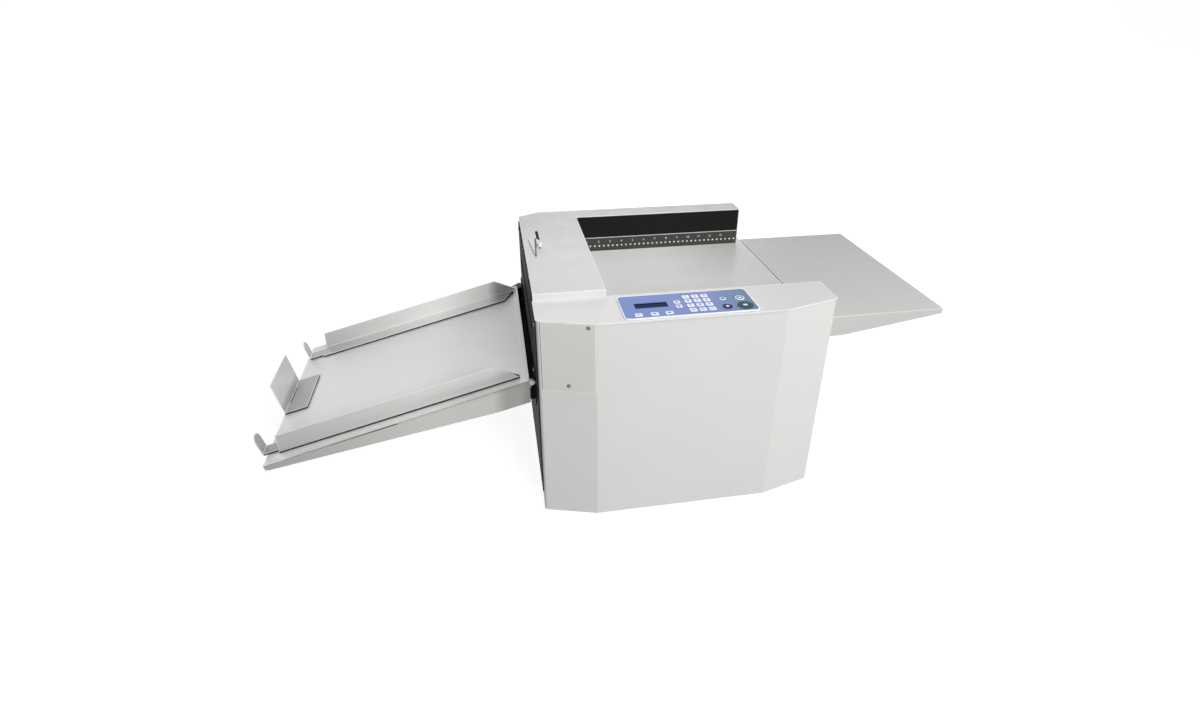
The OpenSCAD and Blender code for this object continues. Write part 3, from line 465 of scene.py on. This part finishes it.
cover_coat = coat_finish("cover_coat", (0.70, 0.693, 0.678))
for node in ("front_cover", "rear_cover"):
    rolled(node, "machine", cover_coat, 0.0006)
# Painted shade: the lid darkens towards +X, as the light falls off.
lid_coat = coat_finish(
    "lid_coat", (0.785, 0.78, 0.77), drift=[(0, -0.10, 0.30, (0.60, 0.595, 0.585))]
)
rolled("console_lid", "machine", lid_coat, 0.0006)
# Painted shade: the bridge darkens towards the back and towards +X, as the light falls off.
bridge_coat = coat_finish("bridge_coat", (0.70, 0.696, 0.688), drift=[
    (1, 0.0, 0.24, (0.56, 0.557, 0.550)),
    (0, -0.05, 0.37, (0.43, 0.428, 0.422)),
])
rolled("bridge_cover", "machine", bridge_coat, 0.0006)
plate_coat = coat_finish("inspection_coat", (0.672, 0.664, 0.64))
rolled("inspection_plate", "machine", plate_coat, 0.0003)


# Shade behind the slit
# A strip in a black rubber finish inside the cover behind the slit beside the inspection plate:
# painted
# shade, so that the slit shows dark. s runs along the facet, deep into it and z upright:
# p = start + s * along + deep * inwards.
def carried(piece, body):
    """Makes a new piece ride on a body."""
    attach(piece, body)


slit_shade_low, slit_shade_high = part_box("inspection_plate")
facet_start, facet_run = (-0.134327, -0.234), (0.092, -0.026)
facet_turn = math.atan2(facet_run[1], facet_run[0])
slit_near, slit_far = 0.003, 0.0075
slit_shade_deep, slit_shade_sheet = 0.0018, 0.0004
slit_shade_s, slit_shade_z = np.meshgrid(
    np.linspace(slit_near, slit_far, 3),
    np.linspace(slit_shade_low[2], slit_shade_high[2] - 0.001, 12),
    indexing="ij",
)
slit_shade_points = np.stack([
    facet_start[0] + slit_shade_s * math.cos(facet_turn) - slit_shade_deep * math.sin(facet_turn),
    facet_start[1] + slit_shade_s * math.sin(facet_turn) + slit_shade_deep * math.cos(facet_turn),
    slit_shade_z,
], axis=-1)
slit_shade_rubber = rubber_finish("slit_shade_rubber", (0.02, 0.02, 0.02), 0.8)
slit_shade = place("slit_shade_strip", grid_mesh("slit_shade_strip", slit_shade_points), slit_shade_rubber)
slit_shade.modifiers.new("thickness", "SOLIDIFY").thickness = slit_shade_sheet
carried(slit_shade, "machine")


# Black sheets
# The panel on the delivery side, the fence behind the bed and the tray's brackets are folded steel
# in a satin black coat, paler grey along their edges: worn to metal and a painted highlight.
def black_finish(name, level):
    """The black coat, grey at the edges: bare metal and a painted highlight."""
    return coat_finish(
        name, (level, level, level), 0.6, 0.15, wear_and_highlight=0.45, gloss=0.06, edge_tone=(0.15, 0.15, 0.145)
    )


rolled("left_panel", "machine", black_finish("black_coat", 0.008), 0.0004)
rolled("rear_fence", "machine", black_finish("fence_coat", 0.0125), 0.0003)


def reopened(finish):
    """A made finish's tree, its shader and the socket that gives its colour."""
    tree = finish.node_tree
    shader = next(n for n in tree.nodes if n.type == "BSDF_PRINCIPLED")
    return tree, shader, shader.inputs["Base Color"].links[0].from_socket


def bracket_finish(name, pin_x, pin_z, pin_r):
    """The black coat, and turned steel within the pin heads' radius of the hinge axis."""
    finish = black_finish(name, 0.008)
    tree, shader, coat = reopened(finish)
    from_pin = vector(tree, "SUBTRACT", object_point(tree), (pin_x, 0, pin_z))
    off_axis = vector(tree, "MULTIPLY", from_pin, (1, 0, 1))
    pin = calc(tree, "LESS_THAN", vector(tree, "LENGTH", off_axis), pin_r)
    wire(tree, shader, mix_tone(tree, pin, coat, (0.62, 0.62, 0.63)))
    tree.links.new(pin, shader.inputs["Metallic"])
    return finish


pin_head_r = 0.0047
hinge = next(joint for joint in frame["joints"] if joint["name"] == "tray_lift")["pos_m"]
bracket_coat = bracket_finish("bracket_coat", hinge[0], hinge[2], pin_head_r)
rolled("tray_brackets", "machine", bracket_coat, 0.0003)

# Screws
# Button-head screws, cold-formed and zinc plated, with a hexagon recess. They hold the covers to
# the frames and have dulled to a dark grey.
# Their rims are painted far paler than their dark heads: a painted highlight.
screw_zinc = metal_finish("screw_zinc", (0.16, 0.16, 0.165), 0.3, 900, (1, 1, 1), (0.5, 0.5, 0.5))
dress(screw_zinc, "case_screws")

# Sheet bed, table, tray, guides and stop
# The bed and the table are coated a shade darker and smoother than the covers; the tray, its
# guides and the stop have a satin metallic coat. The guides and the stop stand on black magnetic
# pads, told by their height over the tray.
# Painted light: the bed is paler towards the fence, along Y, and painted shade darkens it towards
# +X.
bed_coat = coat_finish(
    "bed_coat", (0.64, 0.635, 0.625), 0.42, 0.1, gloss=0.25,
    drift=[(1, 0.0, 0.12, (0.88, 0.875, 0.865)), (0, 0.16, 0.34, (0.55, 0.545, 0.54))],
)
rolled("infeed_table", "machine", bed_coat, 0.0004)
# Painted shade: the table darkens towards the back, as the light falls off.
table_coat = coat_finish(
    "table_coat", (0.55, 0.544, 0.53), 0.42, 0.1, gloss=0.25,
    drift=[(1, -0.16, 0.22, (0.46, 0.46, 0.452))],
)
rolled("extension_table", "machine", table_coat, 0.0005)


def along_tray(tone, free_end_shade=0.66, machine_shadow=0.64):
    """Painted shade and shadow: a wall darkens to the free end as the light falls off, and in a
    short patch towards the machine, the body's shadow.
    """
    return [
        (0, -0.34, -0.62, shade(tone, free_end_shade)),
        (0, -0.212, -0.190, shade(tone, machine_shadow)),
    ]


def satin_finish(name, tone, drift=()):
    """The satin metallic coat of the tray and what stands on it."""
    return coat_finish(name, tone, 0.38, 0.03, metal=0.35, drift=drift)


def tray_finish(name, tone, shaded_wall_tone):
    """The satin coat of the tray, painted darker on its side walls' faces, which face Y: painted
    shade.
    """
    finish = satin_finish(name, tone)
    tree, shader, coat = reopened(finish)
    normal = add_node(tree, "NewGeometry").outputs["Normal"]
    facing = add_node(tree, "SeparateXYZ", {0: normal}).outputs[1]
    wall = ramp(tree, calc(tree, "ABSOLUTE", facing), 0.9, 0.97)
    shaded_wall = drifted(tree, shaded_wall_tone, along_tray(shaded_wall_tone))
    wire(tree, shader, mix_tone(tree, wall, coat, shaded_wall))
    return finish


tray_coat = tray_finish("tray_coat", (0.87, 0.873, 0.863), (0.54, 0.535, 0.515))
rolled("delivery_tray", "tray", tray_coat, 0.0005)

# The pan is a plane through tray_edge (x, z), sloping up along X.
tray_slope = math.radians(14.7)
tray_edge = (-0.147327, 0.2494)
pad_height = 0.0025
pad_margin = 0.0005


def padded_coat(name, tone, drift=()):
    """The tray's coat above the pad and matt black rubber in it, parted by height over the tray."""
    finish = satin_finish(name, tone, drift)
    tree, shader, coat = reopened(finish)
    up = (-math.sin(tray_slope), 0, math.cos(tray_slope))
    pan = tray_edge[0] * up[0] + tray_edge[1] * up[2]
    height = vector(tree, "DOT_PRODUCT", object_point(tree), up)
    under = calc(tree, "LESS_THAN", height, pan + pad_height + pad_margin)
    wire(tree, shader, mix_tone(tree, under, coat, (0.012, 0.012, 0.012)))
    return finish


# Painted shade: the near guide is painted darker than the far one, the same guide mirrored.
near_tone = (0.66, 0.655, 0.64)
near_coat = padded_coat("near_guide_coat", near_tone, along_tray(near_tone, 0.60, 0.82))
rolled("near_guide", "near_guide", near_coat, 0.0004)
far_tone = (0.86, 0.855, 0.84)
far_coat = padded_coat("far_guide_coat", far_tone, along_tray(far_tone, 0.50, 0.38))
rolled("far_guide", "far_guide", far_coat, 0.0004)
stop_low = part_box("stop_plate")[0][2]
# Painted shade: the foot, low on the plate, is darker than the upright face of the same coat.
stop_coat = padded_coat("stop_coat", (0.68, 0.68, 0.675), [
    (2, stop_low + 0.024, stop_low + 0.014, (0.45, 0.45, 0.446)),
])
rolled("stop_plate", "end_stop", stop_coat, 0.0004)

# Scale strip
# A dark printed strip, glued along the foot of the fence: a row of white dots every 10 mm and a
# row of plain numbers every 25.4 mm, under a bare metal lip.
strip_low, strip_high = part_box("scale_strip")
strip_lip = 0.0013


def strip_finish(name):
    """Dark printed film with a fine grain, and the lip along its top edge."""
    finish = moulded_finish(name, (0.050, 0.052, 0.046), 0.5, 700, 0.2)
    tree, shader, film = reopened(finish)
    height = add_node(tree, "SeparateXYZ", {0: object_point(tree)}).outputs[2]
    over = calc(tree, "GREATER_THAN", height, strip_high[2] - strip_lip)
    wire(tree, shader, mix_tone(tree, over, film, (0.60, 0.60, 0.58)))
    return finish


dress(strip_finish("strip_print"), "scale_strip")
white_ink = moulded_finish("white_ink", (0.78, 0.78, 0.76), 0.5)


def dot_row(centres, radius, y):
    """Flat round dots facing -Y: rings of radius r(i) = radius * i / 3 about each centre."""
    rings, steps = 4, 16
    ring = np.linspace(0, 1, rings)[:, None]
    angle = np.linspace(0, 2 * math.pi, steps, endpoint=False)[None, :]
    i, j = np.meshgrid(np.arange(rings - 1), np.arange(steps), indexing="ij")
    j1 = (j + 1) % steps
    quad = np.stack([
        i * steps + j, i * steps + j1, (i + 1) * steps + j1, (i + 1) * steps + j
    ], axis=-1).reshape(-1, 4)
    verts, faces = [], []
    for k, (x, z) in enumerate(centres):
        disc = np.stack([
            x + radius * ring * np.cos(angle),
            np.full((rings, steps), y),
            z + radius * ring * np.sin(angle),
        ], axis=-1)
        verts.append(disc.reshape(-1, 3))
        faces.append(quad + k * rings * steps)
    mesh = bpy.data.meshes.new("dots")
    mesh.from_pydata(np.concatenate(verts).tolist(), [], np.concatenate(faces).tolist())
    close_poles(mesh, 1e-7)
    return mesh


def close_poles(mesh, distance):
    """Merges the points of a mesh that stand closer than distance."""
    merged = bmesh.new()
    merged.from_mesh(mesh)
    bmesh.ops.remove_doubles(merged, verts=merged.verts, dist=distance)
    merged.to_mesh(mesh)
    merged.free()


ink_y = strip_low[1] - 0.00012
scale_start = strip_low[0] + 0.006
dot_pitch, dot_r, dot_z = 0.010, 0.0018, strip_low[2] + 0.0114
dots = [(x, dot_z) for x in np.arange(scale_start, strip_high[0] - 0.003, dot_pitch)]
carried(place("scale_dots", dot_row(dots, dot_r, ink_y), white_ink), "machine")


def printed(name, words, height, matrix, finish):
    """Plain printed characters as a flat mesh, centred on the place that the matrix gives."""
    curve = bpy.data.curves.new(name, "FONT")
    curve.body = words
    curve.size = height
    curve.align_x = "CENTER"
    curve.align_y = "CENTER"
    curve.extrude = 0.00004
    holder = bpy.data.objects.new(name + "_curve", curve)
    bpy.context.scene.collection.objects.link(holder)
    bpy.context.view_layer.update()
    graph = bpy.context.evaluated_depsgraph_get()
    mesh = bpy.data.meshes.new_from_object(holder.evaluated_get(graph))
    bpy.data.objects.remove(holder)
    mesh.transform(matrix)
    mesh.materials.clear()
    return place(name, mesh, finish)


number_pitch, number_size, number_z = 0.0254, 0.0064, strip_low[2] + 0.0212
upright = Matrix.Rotation(math.pi / 2, 4, "X")
count = int((strip_high[0] - strip_low[0] - 0.012) / number_pitch)
for number in range(1, count + 1):
    x = scale_start + number_pitch * (number - 0.5)
    at = Matrix.Translation((x, ink_y, number_z)) @ upright
    figure = printed(f"scale_number_{number}", str(number), number_size, at, white_ink)
    carried(figure, "machine")


# Console film, display and keys
# The overlay is one printed polyester film, blue turning to teal at the start button, with a white
# border. The keys stand in its windows; the display lies under its clear part.
def film_finish(name, low, high):
    """Printed film: white border by distance from the edge, blue to teal along X, fine texture."""
    finish, tree, shader, where = new_finish(name)
    half = ((high[0] - low[0]) / 2, (high[1] - low[1]) / 2)
    middle = ((high[0] + low[0]) / 2, (high[1] + low[1]) / 2, 0)
    corner = 0.009
    inner = (half[0] - corner, half[1] - corner, 10)
    local = vector(tree, "SUBTRACT", where, middle)
    past = vector(tree, "SUBTRACT", vector(tree, "ABSOLUTE", local), inner)
    reach = vector(tree, "LENGTH", vector(tree, "MAXIMUM", past, (0, 0, 0)))
    across = add_node(tree, "SeparateXYZ", {0: local}).outputs[0]
    to_middle = ramp(tree, across, -half[0], half[0] * 0.1)
    ink = mix_tone(tree, to_middle, (0.140, 0.232, 0.56), (0.172, 0.225, 0.49))
    to_start = ramp(tree, across, half[0] * 0.3, half[0] * 0.95)
    ink = mix_tone(tree, to_start, ink, (0.095, 0.190, 0.285))
    speckle = noise(tree, where, 1600, 2)
    ink = mix_tone(tree, ramp(tree, speckle, 0.3, 0.8, 0, 0.12), ink, (0.26, 0.33, 0.58))
    line = ramp(tree, reach, corner - 0.0034, corner - 0.0030)
    ink = mix_tone(tree, line, ink, (0.055, 0.075, 0.20))
    border = ramp(tree, reach, corner - 0.0026, corner - 0.0022)
    body = mix_tone(tree, border, ink, (0.84, 0.86, 0.93))
    wire(tree, shader, body, ramp(tree, speckle, 0.3, 0.7, 0.34, 0.44))
    shader.inputs["Specular IOR Level"].default_value = 0.15
    bumped(tree, shader, speckle, 0.15, 0.00003)
    return finish


film_low, film_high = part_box("control_overlay")
film = film_finish("overlay_film", film_low, film_high)
rolled("control_overlay", "machine", film, 0.0002)


def display_finish(name, glass_foot, window_y):
    """Dark display glass above glass_foot, paler at its lower edge; green board below it."""
    finish, tree, shader, where = new_finish(name)
    at = add_node(tree, "SeparateXYZ", {0: where}).outputs
    glassy = calc(tree, "GREATER_THAN", at[2], glass_foot)
    fine = noise(tree, where, 700, 2)
    shadow = ramp(tree, at[1], *window_y)
    dark = mix_tone(tree, shadow, (0.004, 0.019, 0.085), (0.002, 0.008, 0.036))
    board = mix_tone(tree, fine, (0.02, 0.13, 0.05), (0.03, 0.18, 0.08))
    body = mix_tone(tree, glassy, board, dark)
    wire(tree, shader, body, ramp(tree, glassy, 0, 1, 0.45, 0.3))
    shader.inputs["Specular IOR Level"].default_value = 0.015
    bumped(tree, shader, fine, 0.05, 0.00002)
    return finish


module_low, module_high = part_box("display_module")
window_y = (module_low[1] + 0.0306, module_low[1] + 0.0501)
dress(display_finish("display_face", module_high[2] - 0.009, window_y), "display_module")

key_film = moulded_finish("key_film", (0.80, 0.84, 0.92), 0.42, 1500)
start_film = moulded_finish("start_film", (0.010, 0.060, 0.075), 0.45, 1500, 0.1)
stop_film = moulded_finish("stop_film", (0.030, 0.014, 0.060), 0.45, 1500, 0.1)
key_ink = moulded_finish("key_ink", (0.055, 0.095, 0.30), 0.5)


def flat_mark(name, sides, outer, inner, squash=1.0, turn_by=0.0):
    """A flat ring of corners about (0, 0): r(i) = inner + (outer - inner) * i / 2, angle j / sides.

    An inner radius under half a millimetre only seeds a full shape, so its pole is closed.
    """
    reach = (inner + (outer - inner) * np.linspace(0, 1, 3))[:, None]
    angle = (turn_by + np.linspace(0, 2 * math.pi, sides, endpoint=False))[None, :]
    points = np.stack([
        reach * np.cos(angle), squash * reach * np.sin(angle), np.zeros((3, sides))
    ], axis=-1)
    mesh = grid_mesh(name, points, closed_v=True)
    if inner < 0.0005:
        close_poles(mesh, 0.00025)
    return mesh


# Generic marks in place of words: a triangle on each arrow key, bars and rings on the rest.
# Each row is a label, the corners, the outer and inner radius, the squash, the turn and the ink.
key_marks = {
    "key_up": ("tip", 3, 0.0040, 0.0001, 0.8, math.pi / 2, key_ink),
    "key_down": ("tip", 3, 0.0040, 0.0001, 0.8, -math.pi / 2, key_ink),
    "key_mode": ("frame", 4, 0.0034, 0.0022, 0.75, math.pi / 4, key_ink),
    "key_store": ("frame", 4, 0.0040, 0.0001, 0.6, math.pi / 4, key_ink),
    "key_recall": ("tip", 3, 0.0044, 0.0001, 0.8, math.pi, key_ink),
    "key_clear": ("ring", 24, 0.0028, 0.0016, 0.9, 0.0, key_ink),
    "key_enter": ("frame", 4, 0.0036, 0.0024, 0.8, math.pi / 4, key_ink),
    "key_test": ("ring", 32, 0.0033, 0.0001, 1.0, 0.0, key_ink),
    "key_reset": ("ring", 40, 0.0056, 0.0030, 1.0, 0.0, key_ink),
    "key_stop": ("dot", 24, 0.0027, 0.0001, 1.0, 0.0, key_film),
    "key_start": ("dot", 4, 0.0050, 0.0001, 0.8, math.pi / 4, key_film),
}
key_skins = {"key_start": ("key_green", start_film), "key_stop": ("key_red", stop_film)}
digit_size = 0.0098
ink_lift = 0.00008
for node in sorted(n for n in parts if n.startswith("key_")):
    slot, finish = key_skins.get(node, ("key_white", key_film))
    rolled(node, node, finish, 0.00035, 3)
    low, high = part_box(node)
    top = Matrix.Translation(((low[0] + high[0]) / 2, (low[1] + high[1]) / 2, high[2] + ink_lift))
    digit = node.removeprefix("key_")
    if digit.isdigit():
        carried(printed("print_" + digit, digit, digit_size, top, key_ink), node)
    if node in key_marks:
        label, sides, outer, inner, squash, turn_by, ink = key_marks[node]
        mesh = flat_mark(f"{node}_{label}", sides, outer, inner, squash, turn_by)
        mesh.transform(top)
        carried(place(f"{node}_{label}", mesh, ink), node)


# Lever
# A flat steel flag, coated like the covers, with a black line along its right edge, a white knob
# over the slot and a carriage under the bridge painted black: painted shade in the slot.
def lever_finish(name, foot, knob_top, line_at, line_turn, half_width):
    """The cover's coat; black below the bridge, as painted shade, and along a line; white above
    knob_top.
    """
    finish = coat_finish(name, (0.70, 0.695, 0.685), wear_and_highlight=0.2)
    tree, shader, coat = reopened(finish)
    where = object_point(tree)
    height = add_node(tree, "SeparateXYZ", {0: where}).outputs[2]
    from_line = vector(tree, "SUBTRACT", where, (*line_at, 0))
    aside = (math.cos(line_turn), -math.sin(line_turn), 0)
    off = calc(tree, "ABSOLUTE", vector(tree, "DOT_PRODUCT", from_line, aside))
    line = calc(tree, "LESS_THAN", off, half_width)
    dark = calc(tree, "MAXIMUM", line, calc(tree, "LESS_THAN", height, foot))
    knob = calc(tree, "GREATER_THAN", height, knob_top)
    toned = mix_tone(tree, dark, coat, (0.012, 0.012, 0.012))
    wire(tree, shader, mix_tone(tree, knob, toned, (0.86, 0.86, 0.86)))
    return finish


lever_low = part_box("nip_slider")[0]
bridge_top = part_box("bridge_cover")[1][2]
knob_over, flag_in, line_half = 0.003, 0.0089, 0.0018
line_turn = math.radians(3.1)
flag_line = (lever_low[0] + flag_in, lever_low[1])
lever_coat = lever_finish(
    "lever_coat", bridge_top, bridge_top + knob_over, flag_line, line_turn, line_half
)
rolled("nip_slider", "lever", lever_coat, 0.0004)

# Shade in the lever's slot
# A black strip just under the slot, around the lever's stem, is painted shade inside the slot. It
# is
# one wavy strip: z(s, t) = top - 0.4 mm - 0.2 mm * |sin(60 s)|, s along the slot, t across it.
slot_low, slot_high = (-0.107327, 0.043), (-0.101327, 0.140)
slot_shade_drop, slot_shade_wave, slot_shade_waves = 0.0004, 0.0002, 60
slot_shade_y, slot_shade_x = np.meshgrid(
    np.linspace(slot_low[1], slot_high[1], 160),
    np.linspace(slot_low[0], slot_high[0], 7),
    indexing="ij",
)
slot_shade_s = (slot_shade_y - slot_low[1]) / (slot_high[1] - slot_low[1])
slot_shade_z = bridge_top - slot_shade_drop - slot_shade_wave * np.abs(np.sin(slot_shade_waves * slot_shade_s))
slot_shade_mesh = grid_mesh("slot_shade_strip", np.stack([slot_shade_x, slot_shade_y, slot_shade_z], axis=-1))
slot_shade_mesh.flip_normals()
slot_shade_black = rubber_finish("slot_shade_finish", (0.006, 0.006, 0.006), 0.9)
carried(place("slot_shade_strip", slot_shade_mesh, slot_shade_black), "machine")

# Power inlet
# A moulded black socket with its blades, screwed into the rear cover from outside, and a rocker
# switch that snaps in above it.
inlet_mould = moulded_finish("inlet_mould", (0.02, 0.02, 0.02), 0.45)
dress(inlet_mould, "power_inlet", "power_rocker")
